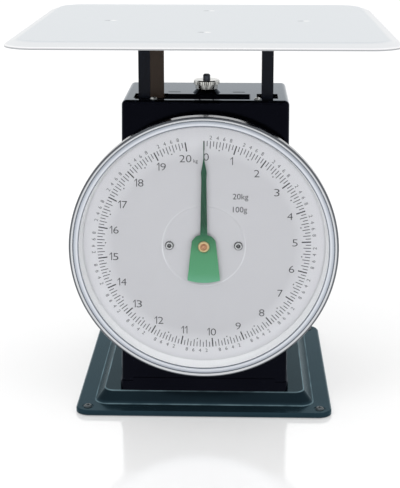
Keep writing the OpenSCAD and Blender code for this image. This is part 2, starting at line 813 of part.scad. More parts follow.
module pan_bracket() {
    color([0.07, 0.08, 0.1]) {
        difference() {
            translate([0, 0, bracket_z]) linear_extrude(bracket_h) plus(bracket_reach, bracket_w);
            translate([0, 0, bracket_z - 1]) linear_extrude(bracket_h - post_sheet + 1)
                plus(bracket_reach + 1, bracket_w - 2 * post_sheet);
        }
        both_sides() block([post_inner_x, post_front_y, bracket_z],
                           [post_outer_x, -bracket_w / 2 + eps, bracket_z + post_sheet]);
    }
}

// Posts: channels with their web to the front, from the crossbar up to the bracket's ears
post_foot_z = crossbar_z + crossbar_sheet;

module post_channel() {
    difference() {
        block([post_inner_x, post_front_y, post_foot_z], [post_outer_x, post_back_y, bracket_z]);
        block([post_inner_x + post_sheet, post_front_y + post_sheet, post_foot_z - 1],
              [post_outer_x - post_sheet, post_back_y + 1, bracket_z + 1]);
        link_pin_places() x_rod(link_pin_r + fit_gap, post_inner_x - 1, post_outer_x + 1);
    }
}

module left_post() {
    color([0.07, 0.08, 0.13]) mirror([1, 0, 0]) post_channel();
}

module right_post() {
    color([0.07, 0.08, 0.13]) post_channel();
}

// Bronze-coloured angle along the inner side of the left post
angle_inner_x = -post_inner_x + angle_w;

module left_post_angle() {
    y0 = post_front_y + 0.4;
    color([0.36, 0.24, 0.14]) {
        block([-post_inner_x, y0, post_foot_z], [angle_inner_x, y0 + angle_sheet, bracket_z]);
        difference() {
            block([-post_inner_x, y0, post_foot_z],
                  [-post_inner_x + angle_sheet, post_back_y - 1, bracket_z]);
            link_pin_places() x_rod(link_pin_r + 0.6, -post_outer_x, 0);
        }
    }
}

// Crossbar: folded tray that joins the posts and holds the springs' lower ends
module lower_crossbar() {
    z0 = crossbar_z;
    z1 = z0 + crossbar_sheet;
    top = z1 + crossbar_flange;
    front_w = post_inner_x - angle_w - 2;
    color([0.5, 0.52, 0.52]) difference() {
        union() {
            block([-post_outer_x, post_front_y, z0], [post_outer_x, crossbar_back_y, z1]);
            block([-front_w, post_front_y, z0], [front_w, post_front_y + crossbar_sheet, top]);
            block([-post_outer_x, crossbar_back_y - crossbar_sheet, z0],
                  [post_outer_x, crossbar_back_y, top]);
        }
        for (sx = [-1, 1])
            translate([sx * spring_x, zero_y, 0]) z_rod(eye_shank_r + screw_gap, z0 - 1, z1 + 1);
        rack_screw_places()
            y_rod(rack_screw_r + screw_gap, post_front_y - 1, post_front_y + crossbar_sheet + 1);
    }
}

// Eye bolt with its ring's centre at the origin and its shank up along +Z
module eye_bolt(shank, nut_z) {
    rotate([90, 0, 90]) rotate_extrude($fn = 64) translate([eye_r, 0]) circle(eye_wire_r, $fn = 24);
    z_rod(eye_shank_r, eye_r, shank);
    translate([0, 0, nut_z]) difference() {
        cylinder(r = 3.4, h = 2.6, $fn = 6);
        z_rod(eye_shank_r - fit_gap, -1, 4);
    }
}

module carriage_eye_bolts() {
    color([0.68, 0.68, 0.66]) for (sx = [-1, 1]) translate([sx * spring_x, zero_y, lower_eye_z])
        mirror([0, 0, 1]) eye_bolt(eye_drop + crossbar_sheet + 4, eye_drop + crossbar_sheet);
}

module link_pin_places() {
    for (z = [upper_link_z, lower_link_z]) translate([0, post_mid_y, z + travel / 2]) children();
}

module link_pins() {
    color([0.7, 0.7, 0.68]) both_sides() link_pin_places() {
        x_rod(link_pin_r, post_inner_x + post_sheet + 0.3, post_outer_x + link_pin_reach);
        x_rod(link_pin_r + 1, post_inner_x + post_sheet + 0.3, post_inner_x + post_sheet + 1.8);
    }
}

// Rack: straight-sided teeth that mesh with the pinion, a gap level with the arbor at no load
module rack_bar() {
    half = tooth_pitch / 4 - 0.01;
    tip = 0.8 * tooth_module;
    root = 1.2 * tooth_module;
    slant = tan(20);
    first = -round(rack_overrun / tooth_pitch);
    teeth_low = dial_z + (first - 0.5) * tooth_pitch;
    teeth_high = dial_z + (first + rack_count + 0.5) * tooth_pitch;
    gap_x = pitch_r + root;
    back_x = gap_x + rack_w;
    outline = concat(
        [[back_x, post_foot_z], [gap_x, post_foot_z], [gap_x, teeth_low]],
        [for (i = [0:rack_count - 1], p = [
            [root, -half - root * slant], [-tip, -half + tip * slant],
            [-tip, half - tip * slant], [root, half + root * slant]
        ]) [pitch_r + p[0], dial_z + (first + i + 0.5) * tooth_pitch + p[1]]],
        [[gap_x, teeth_high], [gap_x + 1.5, teeth_high + 2], [back_x, teeth_high + 2]]
    );
    color([0.74, 0.62, 0.34]) difference() {
        translate([0, rack_front_y + rack_t, 0]) rotate([90, 0, 0]) linear_extrude(rack_t) polygon(outline);
        rack_screw_places() y_rod(rack_screw_r + screw_gap, rack_front_y - 1, rack_front_y + rack_t + 1);
    }
}

rack_screw_r = 1.1;

module rack_screw_places() {
    x = pitch_r + 1.2 * tooth_module + rack_w / 2;
    for (z = [3.5, 9.5]) translate([x, 0, post_foot_z + z]) children();
}

module rack_screws() {
    color([0.7, 0.7, 0.68]) rack_screw_places() translate([0, post_front_y, 0]) rotate([90, 0, 0])
        screw(2 * rack_screw_r, 1.2, rack_screw_r, crossbar_sheet + rack_t - 0.5);
}

// Pointer: arbor, pinion, needle and hub
arbor_front = needle_s + needle_t + 1.6;
hub_screw_r = 0.8;
hub_screw_len = 3;

module pointer_arbor() {
    color([0.7, 0.7, 0.68]) translate([0, 0, dial_z]) difference() {
        union() {
            y_rod(arbor_r, -arbor_front, movement_y + movement_sheet + 1.6);
            y_rod(arbor_r + 1, bridge_front_y + soft_gap, pinion_front_y);
            y_rod(arbor_r + 1, pinion_front_y + pinion_w, movement_y - soft_gap);
        }
        y_rod(hub_screw_r + run_gap, -arbor_front - 1, -arbor_front + hub_screw_len + soft_gap);
    }
}

// Involute tooth form: half angle of a tooth at a radius
base_circle_r = pitch_r * cos(20);
function involute(r) = let(t = sqrt(max(pow(r / base_circle_r, 2) - 1, 0))) t * 180 / PI - atan(t);
half_backlash = backlash / 2 / pitch_r * 180 / PI;
function half_tooth(r) = 90 / pinion_teeth - half_backlash + involute(pitch_r) - involute(r);
function polar(r, a) = [r * cos(a), r * sin(a)];

module pinion() {
    tip_r = pitch_r + 0.95 * tooth_module;
    root_r = pitch_r - 1.2 * tooth_module;
    flank = [for (i = [0:4]) base_circle_r + (tip_r - base_circle_r) * i / 4];
    base_half = half_tooth(base_circle_r);
    outline = [for (k = [0:pinion_teeth - 1], p = concat(
        [[root_r, -base_half]], [for (i = [0:4]) [flank[i], -half_tooth(flank[i])]],
        [for (i = [4:-1:0]) [flank[i], half_tooth(flank[i])]], [[root_r, base_half]]
    )) polar(p[0], p[1] + k * 360 / pinion_teeth)];
    back_y = pinion_front_y + pinion_w;
    color([0.78, 0.62, 0.3]) translate([0, back_y, dial_z]) rotate([90, 0, 0]) difference() {
        linear_extrude(pinion_w) polygon(outline);
        z_rod(arbor_r + fit_gap, -1, pinion_w + 1);
    }
}

// Needle: wire tip, arrow head, tapering bar and a paddle that balances it
module needle() {
    head = needle_len * 0.71;
    shoulder = 8;
    corner = paddle_len - 2;
    crown = [for (i = [-4:4]) [paddle_w / 2 * i / 4, -paddle_len + 2 * pow(i / 4, 2)]];
    side = [
        [10, -2], [9.2, 4.5], [6.2, shoulder], [2.7, shoulder + 1.4], [1.95, head - 6],
        [2.25, head], [0.8, head + 8], [0.3, head + 11], [0.3, needle_len]
    ];
    ridge_half = 1.8;
    ridge_foot = shoulder + 3;
    color([0.1, 0.42, 0.26]) translate([0, -needle_s, dial_z]) {
        rotate([90, 0, 0]) difference() {
            linear_extrude(needle_t) polygon(concat(
                crown, side, [for (i = [len(side) - 1:-1:0]) [-side[i][0], side[i][1]]]
            ));
            z_rod(hub_neck_r + fit_gap, -1, needle_t + 1);
        }
        translate([0, -needle_t, ridge_foot]) linear_extrude(head - 2 - ridge_foot)
            polygon([[-ridge_half, eps], [0, -ridge_h], [ridge_half, eps]]);
    }
}

hub_neck_r = 2.6;

module needle_hub() {
    color([0.75, 0.62, 0.4]) translate([0, 0, dial_z]) difference() {
        union() {
            y_rod(hub_neck_r, -needle_s - needle_t - eps, -needle_s + 1);
            y_rod(hub_r - 0.8, -needle_s, -needle_s + 1);
            translate([0, -needle_s - needle_t, 0]) rotate([90, 0, 0]) {
                cylinder(r = hub_r, h = 0.9);
                translate([0, 0, 0.9 - eps]) cylinder(r1 = hub_r, r2 = hub_r - 0.7, h = 0.6);
            }
        }
        y_rod(arbor_r + fit_gap, -through, 0);
    }
}

module hub_screw() {
    color([0.55, 0.5, 0.42]) translate([0, -arbor_front, dial_z]) rotate([90, 0, 0])
        screw(2, 1.1, hub_screw_r, hub_screw_len);
}

// Guide link: a sleeve on its pivot rod and two slotted arms that ride on the posts' pins
module guide_link(pivot_z) {
    slot_from = link_span - link_pin_r - 0.6;
    arm_half = 5;
    arm_len = link_span / cos(link_tilt) + arm_half;
    slot_half = link_pin_r + soft_gap;
    color([0.6, 0.6, 0.58]) translate([0, link_y, pivot_z]) difference() {
        union() {
            x_rod(sleeve_r, -link_x - link_t, link_x + link_t);
            for (x = [-link_x - link_t, link_x]) rotate([-link_tilt, 0, 0]) translate([x, 0, 0]) {
                x_rod(arm_half + 1, 0, link_t);
                block([0, -arm_len + arm_half, -arm_half], [link_t, 0, arm_half]);
                translate([0, -arm_len + arm_half, 0]) x_rod(arm_half, 0, link_t);
            }
        }
        x_rod(rod_r + run_gap, -link_x - link_t - 1, link_x + link_t + 1);
        rotate([-link_tilt, 0, 0]) {
            block([-link_x - link_t - 1, -arm_len - 1, -slot_half],
                  [link_x + link_t + 1, -slot_from - slot_half, slot_half]);
            translate([0, -slot_from - slot_half, 0])
                x_rod(slot_half, -link_x - link_t - 1, link_x + link_t + 1);
        }
    }
}

module upper_link() {
    guide_link(upper_link_z);
}

module lower_link() {
    guide_link(lower_link_z);
}

module link_rod(z) {
    color([0.7, 0.7, 0.68]) translate([0, link_y, z]) {
        x_rod(rod_r, -ear_x - ear_sheet - 1.5, ear_x + ear_sheet + 1.5);
    }
}

module upper_link_rod() {
    link_rod(upper_link_z);
}

module lower_link_rod() {
    link_rod(lower_link_z);
}

// Zero adjuster: knurled nut, its stud and the yoke that the springs hang from
module zero_knob() {
    knurls = 40;
    band_h = knob_h * 0.5;
    color([0.85, 0.85, 0.84]) translate([0, zero_y, knob_z]) difference() {
        union() {
            cylinder(r = knob_r - 1.2, h = knob_h - band_h + eps);
            translate([0, 0, knob_h - band_h]) cylinder(r = knob_r, h = band_h - 0.8);
            translate([0, 0, knob_h - 0.8]) cylinder(r1 = knob_r, r2 = knob_r - 1, h = 0.8);
        }
        z_rod(stud_r + run_gap, -1, knob_h + 1);
        for (i = [0:knurls - 1]) rotate(i * 360 / knurls)
            translate([knob_r + 0.12, 0, knob_h - band_h - 1]) cylinder(r = 0.5, h = band_h + 2, $fn = 4);
    }
}

module zero_stud() {
    color([0.2, 0.21, 0.24]) translate([0, zero_y, 0]) {
        z_rod(stud_r, yoke_z, stud_top_z - 1);
        translate([0, 0, stud_top_z - 1]) cylinder(r1 = stud_r, r2 = stud_r - 1, h = 1);
        translate([0, 0, yoke_z - 3]) cylinder(r = stud_r + 2.2, h = 3, $fn = 6);
    }
}

module spring_yoke() {
    color([0.5, 0.52, 0.52]) translate([0, zero_y, 0]) difference() {
        block([-yoke_reach, -yoke_d / 2, yoke_z], [yoke_reach, yoke_d / 2, yoke_z + yoke_h]);
        z_rod(stud_r + fit_gap, yoke_z - 1, yoke_z + yoke_h + 1);
        for (sx = [-1, 1])
            translate([sx * spring_x, 0, 0]) z_rod(eye_shank_r + screw_gap, yoke_z - 1, yoke_z + yoke_h + 1);
    }
}

module yoke_eye_bolts() {
    color([0.68, 0.68, 0.66]) for (sx = [-1, 1]) translate([sx * spring_x, zero_y, upper_eye_z])
        eye_bolt(eye_drop + yoke_h + 4, eye_drop + yoke_h);
}

// Extension spring: a coiled wire with a loop bent up at each end
module spring() {
    seg = 10;
    sides = 6;
    rings = coils * seg;
    height = spring_top_z - spring_foot_z;
    points = [for (i = [0:rings], j = [0:sides - 1])
        let(a = 360 * i / seg, b = 360 * j / sides, r = coil_r + wire_r * cos(b))
            [r * cos(a), r * sin(a), height * i / rings + wire_r * sin(b)]];
    walls = [for (i = [0:rings - 1], j = [0:sides - 1])
        let(k = (j + 1) % sides) [i * sides + j, i * sides + k, (i + 1) * sides + k, (i + 1) * sides + j]];
    caps = [[for (j = [sides - 1:-1:0]) j], [for (j = [0:sides - 1]) rings * sides + j]];
    color([0.62, 0.62, 0.6]) translate([0, zero_y, spring_foot_z]) {
        polyhedron(points = points, faces = concat(walls, caps), convexity = 10);
        translate([0, 0, height]) end_loop();
        mirror([0, 0, 1]) end_loop();
    }
}

module end_loop() {
    rotate([90, 0, 0]) rotate_extrude(angle = 250, $fn = 64) translate([coil_r, 0]) circle(wire_r, $fn = 24);
    translate([coil_r, 0, 0]) sphere(wire_r * 1.02, $fn = 24);
}

module left_spring() {
    translate([-spring_x, 0, 0]) spring();
}

module right_spring() {
    translate([spring_x, 0, 0]) spring();
}

base_pan();
rubber_feet();
foot_screws();
body_shell();
rear_cover();
rear_cover_screws();
top_screws();
base_screws();
front_frame_plate();
rear_frame_plate();
top_bridge();
frame_screws();
zero_bush();
movement_plate();
movement_pillars();
front_bush();
rear_bush();
upper_link_rod();
lower_link_rod();
dial_standoffs();
dial_case();
dial_plate();
dial_screws();
bezel_ring();
lens();
weighing_pan();
pan_bracket();
left_post();
right_post();
left_post_angle();
lower_crossbar();
carriage_eye_bolts();
link_pins();
rack_bar();
rack_screws();
pointer_arbor();
pinion();
needle();
needle_hub();
hub_screw();
upper_link();
lower_link();
zero_knob();
zero_stud();
spring_yoke();
yoke_eye_bolts();
left_spring();
right_spring();
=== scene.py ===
"""Visual model of a mechanical platform scale with a round dial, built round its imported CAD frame."""

import json
import math

import bpy
from mathutils import Matrix, Vector

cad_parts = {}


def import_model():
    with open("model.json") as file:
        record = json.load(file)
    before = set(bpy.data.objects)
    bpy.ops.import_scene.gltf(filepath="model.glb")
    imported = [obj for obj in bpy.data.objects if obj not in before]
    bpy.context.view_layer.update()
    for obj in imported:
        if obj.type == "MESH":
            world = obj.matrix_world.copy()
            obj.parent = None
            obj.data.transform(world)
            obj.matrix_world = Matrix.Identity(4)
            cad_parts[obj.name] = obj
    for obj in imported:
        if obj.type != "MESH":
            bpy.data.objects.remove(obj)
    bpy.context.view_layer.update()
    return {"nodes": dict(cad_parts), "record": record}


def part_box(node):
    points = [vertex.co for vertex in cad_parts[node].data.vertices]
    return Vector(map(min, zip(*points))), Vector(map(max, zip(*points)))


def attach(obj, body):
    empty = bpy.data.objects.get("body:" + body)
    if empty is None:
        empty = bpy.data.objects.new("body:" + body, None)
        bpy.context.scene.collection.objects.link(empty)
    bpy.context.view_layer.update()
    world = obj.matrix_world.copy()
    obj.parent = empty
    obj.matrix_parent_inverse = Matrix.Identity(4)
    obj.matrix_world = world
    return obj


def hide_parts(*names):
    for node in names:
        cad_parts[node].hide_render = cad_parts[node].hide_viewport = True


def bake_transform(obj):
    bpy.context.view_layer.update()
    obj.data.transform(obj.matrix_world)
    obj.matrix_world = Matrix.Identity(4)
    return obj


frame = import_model()
nodes = frame["nodes"]
MM = 0.001


# Places taken from the frame
HUB = (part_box("needle_hub")[0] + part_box("needle_hub")[1]) / 2
DIAL_Z = HUB.z
PLATE_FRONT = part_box("dial_plate")[0].y

# Printed scale: one turn of the needle less a gap of 10 degrees, 20 kg in steps of 100 g
KILOGRAMS = 20
STEPS_PER_KG = 10
STEP_TURN = math.radians(350 / (KILOGRAMS * STEPS_PER_KG))
TICK_OUTER_R = 83.4 * MM
MAJOR_INNER_R = 76.2 * MM
EVEN_INNER_R = 77.6 * MM
ODD_INNER_R = 79.3 * MM
MAJOR_W = 0.95 * MM
MINOR_W = 0.62 * MM
DOT_R = 76.8 * MM
DOT_HALF_W = 0.55 * MM
NUMERAL_R = 71.0 * MM
ZERO_ASIDE = 1.7 * MM
SMALL_DIGIT_R = 86.3 * MM
SMALL_DIGIT_CAP = 3.0 * MM
INK = 0.04 * MM

# Print with places of its own, right of and above the needle's axis
FULL_PLACE = Vector((-14.2, 69.6)) * MM
UNIT_PLACE = Vector((-6.4, 67.8)) * MM
UNIT_CAP = 2.9 * MM
CAPACITY_PLACE = Vector((28.4, 39.8)) * MM
GRADUATION_PLACE = Vector((28.0, 29.4)) * MM
RATING_CAP = 4.7 * MM

# Height of a capital in the built-in font, as a share of the font's size
CAP_SHARE = 0.73

BLACK = (0, 0, 0, 1)
WHITE = (1, 1, 1, 1)
NOWHERE = (0, 0, 0)


# Materials: their nodes measure in metres, in the part's own frame


def linear(red, green, blue):
    """Colour from 0 to 255 as it looks on a screen, as the linear values that Blender works in."""
    return tuple(
        (c / 255 / 12.92) if c / 255 <= 0.04045 else ((c / 255 + 0.055) / 1.055) ** 2.4
        for c in (red, green, blue)
    ) + (1.0,)


def new_material(name):
    """An empty material and its node tree."""
    mat = bpy.data.materials.new(name)
    mat.use_nodes = True
    mat.node_tree.nodes.clear()
    return mat, mat.node_tree


def finish_with(tree, shader):
    """Leads a shader's output to the surface."""
    out = tree.nodes.new("ShaderNodeOutputMaterial")
    tree.links.new(shader, out.inputs["Surface"])


def noise(tree, scale, detail=3.0, stretch=(1, 1, 1)):
    """Noise from 0 to 1, stretched along the axes where brushing runs."""
    coords = tree.nodes.new("ShaderNodeTexCoord")
    mapping = tree.nodes.new("ShaderNodeMapping")
    mapping.inputs["Scale"].default_value = stretch
    node = tree.nodes.new("ShaderNodeTexNoise")
    node.inputs["Scale"].default_value = scale
    node.inputs["Detail"].default_value = detail
    tree.links.new(coords.outputs["Object"], mapping.inputs["Vector"])
    tree.links.new(mapping.outputs["Vector"], node.inputs["Vector"])
    return node.outputs["Fac"]


def to_range(tree, value, low, high, start=0.0, end=1.0):
    """The value's range from start to end, laid evenly over low to high and held there beyond it."""
    node = tree.nodes.new("ShaderNodeMapRange")
    node.inputs["From Min"].default_value = start
    node.inputs["From Max"].default_value = end
    node.inputs["To Min"].default_value = low
    node.inputs["To Max"].default_value = high
    tree.links.new(value, node.inputs["Value"])
    return node.outputs["Result"]


def maths(tree, operation, first, second, clamp=False):
    """Sum, product or the like of the outputs of two nodes."""
    node = tree.nodes.new("ShaderNodeMath")
    node.operation = operation
    node.use_clamp = clamp
    tree.links.new(first, node.inputs[0])
    tree.links.new(second, node.inputs[1])
    return node.outputs["Value"]


def blend_colours(tree, share, first, second):
    """From the first colour at 0 to the second at 1, each a plain colour or the output of a node."""
    node = tree.nodes.new("ShaderNodeMix")
    node.data_type = "RGBA"
    for name, colour in (("A", first), ("B", second)):
        if isinstance(colour, bpy.types.NodeSocket):
            tree.links.new(colour, node.inputs[name])
        else:
            node.inputs[name].default_value = colour
    tree.links.new(share, node.inputs["Factor"])
    return node.outputs["Result"]


def shades(start, *stops):
    """Stops for a ramp: millimetres from a start, each with its colour from 0 to 255."""
    return [(start + place * MM, linear(*colour)) for place, colour in stops]


def ramp(tree, value, low, high, stops):
    """Colours at places between low and high."""
    node = tree.nodes.new("ShaderNodeValToRGB")
    spare = node.color_ramp.elements[1]
    node.color_ramp.elements.remove(spare)
    for i, (place, colour) in enumerate(stops):
        at = (place - low) / (high - low)
        stop = node.color_ramp.elements[0] if i == 0 else node.color_ramp.elements.new(at)
        stop.position = at
        stop.color = colour
    tree.links.new(to_range(tree, value, 0.0, 1.0, low, high), node.inputs["Fac"])
    return node.outputs["Color"]


def stripe(tree, value, middle, half_w, core):
    """1 at the middle of a stripe, 0 from half_w off it; the core is the share of its width that is all 1."""
    return ramp(tree, value, middle - 2 * half_w, middle + 2 * half_w, (
        (middle - half_w, BLACK), (middle - core * half_w, WHITE),
        (middle + core * half_w, WHITE), (middle + half_w, BLACK),
    ))


def height(tree):
    """Height above the floor."""
    coords = tree.nodes.new("ShaderNodeTexCoord")
    apart = tree.nodes.new("ShaderNodeSeparateXYZ")
    tree.links.new(coords.outputs["Object"], apart.inputs["Vector"])
    return apart.outputs["Z"]


def measured(tree, *steps):
    """Length left of a place on the surface after steps of vector maths on it."""
    coords = tree.nodes.new("ShaderNodeTexCoord")
    place = coords.outputs["Object"]
    for operation, value in steps:
        node = tree.nodes.new("ShaderNodeVectorMath")
        node.operation = operation
        node.inputs[1].default_value = value
        tree.links.new(place, node.inputs[0])
        place = node.outputs["Vector"]
    length = tree.nodes.new("ShaderNodeVectorMath")
    length.operation = "LENGTH"
    tree.links.new(place, length.inputs[0])
    return length.outputs["Value"]


def from_axis(tree, beside=0.0):
    """Distance on the dial from the needle's axis, or from the nearer of two places that far beside it."""
    return measured(tree, ("MULTIPLY", (1, 0, 1)), ("ABSOLUTE", NOWHERE), ("SUBTRACT", (beside, 0, DIAL_Z)))


def from_nearest(tree, places):
    """Distance seen from above from the nearest of some places."""
    distances = [measured(tree, ("MULTIPLY", (1, 1, 0)), ("SUBTRACT", place)) for place in places]
    nearest = distances[0]
    for distance in distances[1:]:
        nearest = maths(tree, "MINIMUM", nearest, distance)
    return nearest


def bump(tree, relief, distance):
    """Normal of a surface that a relief from 0 to 1 raises by a distance."""
    node = tree.nodes.new("ShaderNodeBump")
    node.inputs["Distance"].default_value = distance
    tree.links.new(relief, node.inputs["Height"])
    return node.outputs["Normal"]


def orange_peel(tree):
    """Normal of sprayed paint, very slightly wavy."""
    return bump(tree, noise(tree, scale=900, detail=1.0), distance=0.02 * MM)


def principled(tree, colour, rough, metallic=0.0, ior=1.5, coat=0.0):
    """Principled shader, under a clear gloss where the coat is above 0."""
    node = tree.nodes.new("ShaderNodeBsdfPrincipled")
    node.inputs["Base Color"].default_value = colour
    node.inputs["Roughness"].default_value = rough
    node.inputs["Metallic"].default_value = metallic
    node.inputs["IOR"].default_value = ior
    node.inputs["Coat Weight"].default_value = coat
    node.inputs["Coat Roughness"].default_value = 0.04
    return node


def sprayed(name, colour, patch, rough=0.3, ior=1.3, coat=0.0, lustre=0.0, sheen=WHITE):
    """Slightly uneven paint and its shader. Its lustre mirrors at a slant, in the sheen's tint."""
    mat, tree = new_material(name)
    shader = principled(tree, colour, rough, metallic=lustre, ior=ior, coat=coat)
    shader.inputs["Specular Tint"].default_value = sheen
    uneven = blend_colours(tree, noise(tree, scale=40), colour, patch)
    tree.links.new(uneven, shader.inputs["Base Color"])
    tree.links.new(orange_peel(tree), shader.inputs["Normal"])
    finish_with(tree, shader.outputs["BSDF"])
    return mat, tree, shader


def paint(name, colour, patch, **looks):
    """Paint as sprayed() makes it, from two colours from 0 to 255."""
    return sprayed(name, linear(*colour), linear(*patch), **looks)[0]


def body_paint():
    """Blue-black enamel that mirrors at a slant, save in a band of painted dark reflection along the front of
    the body's top.
    """
    lustre, plain_mirror, fade = 0.8, 0.5, 1.2 * MM
    mat, tree, shader = sprayed(
        "body_paint", linear(11, 12, 18), linear(14, 15, 22),
        rough=0.08, ior=1.03, lustre=lustre, sheen=(0.88, 0.94, 1, 1),
    )
    top_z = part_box("body_shell")[1].z
    # The paint stops mirroring in this band, as a painted dark reflection.
    band_low, band_high = Vector((-56, -40, -0.3)) * MM, Vector((35, -15, 0.3)) * MM
    middle = Vector((0, 0, top_z)) + (band_low + band_high) / 2
    half = (band_high - band_low) / 2
    beyond = measured(
        tree, ("SUBTRACT", middle), ("ABSOLUTE", NOWHERE), ("SUBTRACT", half), ("MAXIMUM", NOWHERE),
    )
    for name, full in (("Metallic", lustre), ("Specular IOR Level", plain_mirror)):
        tree.links.new(to_range(tree, beyond, 0.0, full, 0.0, fade), shader.inputs[name])
    return mat


def fold_line(tree, straight, corner_r):
    """Mask for a painted highlight, 1 along one fold of the square pressing: sides of that half length,
    joined by round corners.
    """
    distance = measured(
        tree, ("MULTIPLY", (1, 1, 0)), ("ABSOLUTE", NOWHERE),
        ("SUBTRACT", (straight, straight, 0)), ("MAXIMUM", NOWHERE),
    )
    return stripe(tree, distance, corner_r, half_w=0.75 * MM, core=0.3)


def base_enamel():
    """Blue-green stove enamel, paler on the flange as painted reflection, and with painted highlights here
    and there along the pressing's two folds.
    """
    mat, tree = new_material("base_enamel")
    shader = principled(tree, linear(19, 34, 42), rough=0.2, metallic=0.5, ior=1.05)
    shader.inputs["Specular Tint"].default_value = (0.81, 0.95, 1, 1)
    cloud = noise(tree, scale=40)
    flange_end, slope_start = 5 * MM, 7 * MM
    above_flange = to_range(tree, height(tree), 0.0, 1.0, flange_end, slope_start)
    # The flange's paler tones are painted reflection; the upper tones are the enamel's own.
    flange = blend_colours(tree, cloud, linear(32, 49, 58), linear(40, 59, 68))
    upper = blend_colours(tree, cloud, linear(21, 32, 39), linear(27, 41, 48))
    colour = blend_colours(tree, above_flange, flange, upper)
    half = (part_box("base_pan")[1].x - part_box("base_pan")[0].x) / 2
    foot_r, ridge_r, flange_w, slope_run = 11 * MM, 7.7 * MM, 14 * MM, 7.5 * MM
    foot, ridge = half - flange_w, half - flange_w - slope_run
    patchy = to_range(tree, noise(tree, scale=55, detail=2.0), -0.2, 1.2)
    # Painted highlights, broken by noise, along the foot and the ridge of the pressing.
    for side, radius in ((foot, foot_r), (ridge, ridge_r)):
        broken_highlight = maths(tree, "MULTIPLY", fold_line(tree, side - radius, radius), patchy)
        colour = blend_colours(tree, broken_highlight, colour, linear(128, 153, 161))
    tree.links.new(colour, shader.inputs["Base Color"])
    tree.links.new(orange_peel(tree), shader.inputs["Normal"])
    finish_with(tree, shader.outputs["BSDF"])
    return mat


def bare_metal(name, rough, spread=0.06, grain_scale=900, brushing=(1, 1, 1)):
    """Metal whose roughness follows a fine grain, and the shader that takes its colour."""
    mat, tree = new_material(name)
    shader = principled(tree, (0.8, 0.8, 0.8, 1), rough, metallic=1.0)
    grain = noise(tree, grain_scale, detail=4.0, stretch=brushing)
    tree.links.new(to_range(tree, grain, rough - spread, rough + spread), shader.inputs["Roughness"])
    finish_with(tree, shader.outputs["BSDF"])
    return mat, tree, shader


def metal(name, colour, rough):
    """Metal of one colour, from 0 to 255."""
    mat, tree, shader = bare_metal(name, rough, spread=0.08)
    shader.inputs["Base Color"].default_value = linear(*colour)
    return mat


def grimy_metal(name, colour, recess_shade, rough, reach):
    """Metal with painted shade in its recesses, such as the cross of a screw, over a reach."""
    mat, tree, shader = bare_metal(name, rough)
    open_to_light = tree.nodes.new("ShaderNodeAmbientOcclusion")
    open_to_light.inputs["Distance"].default_value = reach
    open_to_light.samples = 6
    # Painted shade: darker where nearby surfaces close in.
    unshaded = to_range(tree, open_to_light.outputs["AO"], 0.0, 1.0, 0.45, 0.85)
    tree.links.new(blend_colours(tree, unshaded, linear(*recess_shade), linear(*colour)), shader.inputs["Base Color"])
    return mat


def ringed_metal(name, rings, rough, reach, beside=0.0):
    """Turned metal coloured in rings about the needle's axis, or about the two dial screws beside it."""
    mat, tree, shader = bare_metal(name, rough)
    colour = ramp(tree, from_axis(tree, beside), 0, reach, shades(0, *rings))
    tree.links.new(colour, shader.inputs["Base Color"])
    return mat


def pan_steel():
    """Brushed stainless sheet, brighter on its sloping lip by a painted highlight, with painted shade along
    the lip's lower edge.

    Each of its four weld spots has painted shade on its left side and a painted highlight on its right.
    """
    mat, tree, shader = bare_metal("pan_steel", 0.3, spread=0.05, brushing=(1, 14, 1))
    low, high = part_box("weighing_pan")
    hem_shade, edge, lip, sheet = (172, 174, 177), (250, 250, 251), (233, 235, 237), (219, 224, 228)
    # Up from the foot: painted shade along the hem, a thin painted highlight, the lip's painted highlight,
    # then the sheet's own colour.
    rising = shades(low.z, (0, hem_shade), (0.8, hem_shade), (1.3, edge), (1.7, edge), (2.2, lip))
    rising += shades(high.z, (-1.2, lip), (-0.2, sheet))
    colour = ramp(tree, height(tree), low.z, high.z, rising)
    middle = (low + high) / 2
    weld_out, aside, full_r, faded_r = 79 * MM, 2.4 * MM, 1.6 * MM, 3.4 * MM
    # Two tones at each weld dent: painted shade to its left, a painted highlight to its right.
    for shift, tint in ((-aside, linear(176, 181, 186)), (aside, linear(255, 255, 255))):
        spots = [
            (middle.x + x * weld_out + shift, middle.y + y * weld_out, 0)
            for x, y in ((1, 0), (-1, 0), (0, 1), (0, -1))
        ]
        near = to_range(tree, from_nearest(tree, spots), 1.0, 0.0, full_r, faded_r)
        colour = blend_colours(tree, near, colour, tint)
    tree.links.new(colour, shader.inputs["Base Color"])
    return mat


def bezel_steel():
    """Bright rolled ring whose rings of colour are painted reflection: dark at its outer edge and in the
    groove, and brighter inward across its band.
    """
    mat, tree, shader = bare_metal("bezel_steel", 0.12, spread=0.03, grain_scale=400)
    ring_w = 9 * MM
    outer = (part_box("bezel_ring")[1].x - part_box("bezel_ring")[0].x) / 2
    # All these tones are painted reflection: a dark lip, groove and rolled edge, a light bead, and a band
    # that darkens outward.
    lip, band_high, band_low = (112, 117, 126), (209, 213, 220), (165, 171, 181)
    groove, bead, rolled = (116, 121, 128), (208, 210, 213), (92, 95, 100)
    rings = shades(
        outer, (-7.1, lip), (-6.6, band_high), (-6.0, band_high), (-3.9, band_low), (-3.4, groove),
        (-2.9, bead), (-1.9, bead), (-1.3, rolled), (0, rolled),
    )
    tree.links.new(ramp(tree, from_axis(tree), outer - ring_w, outer, rings), shader.inputs["Base Color"])
    return mat


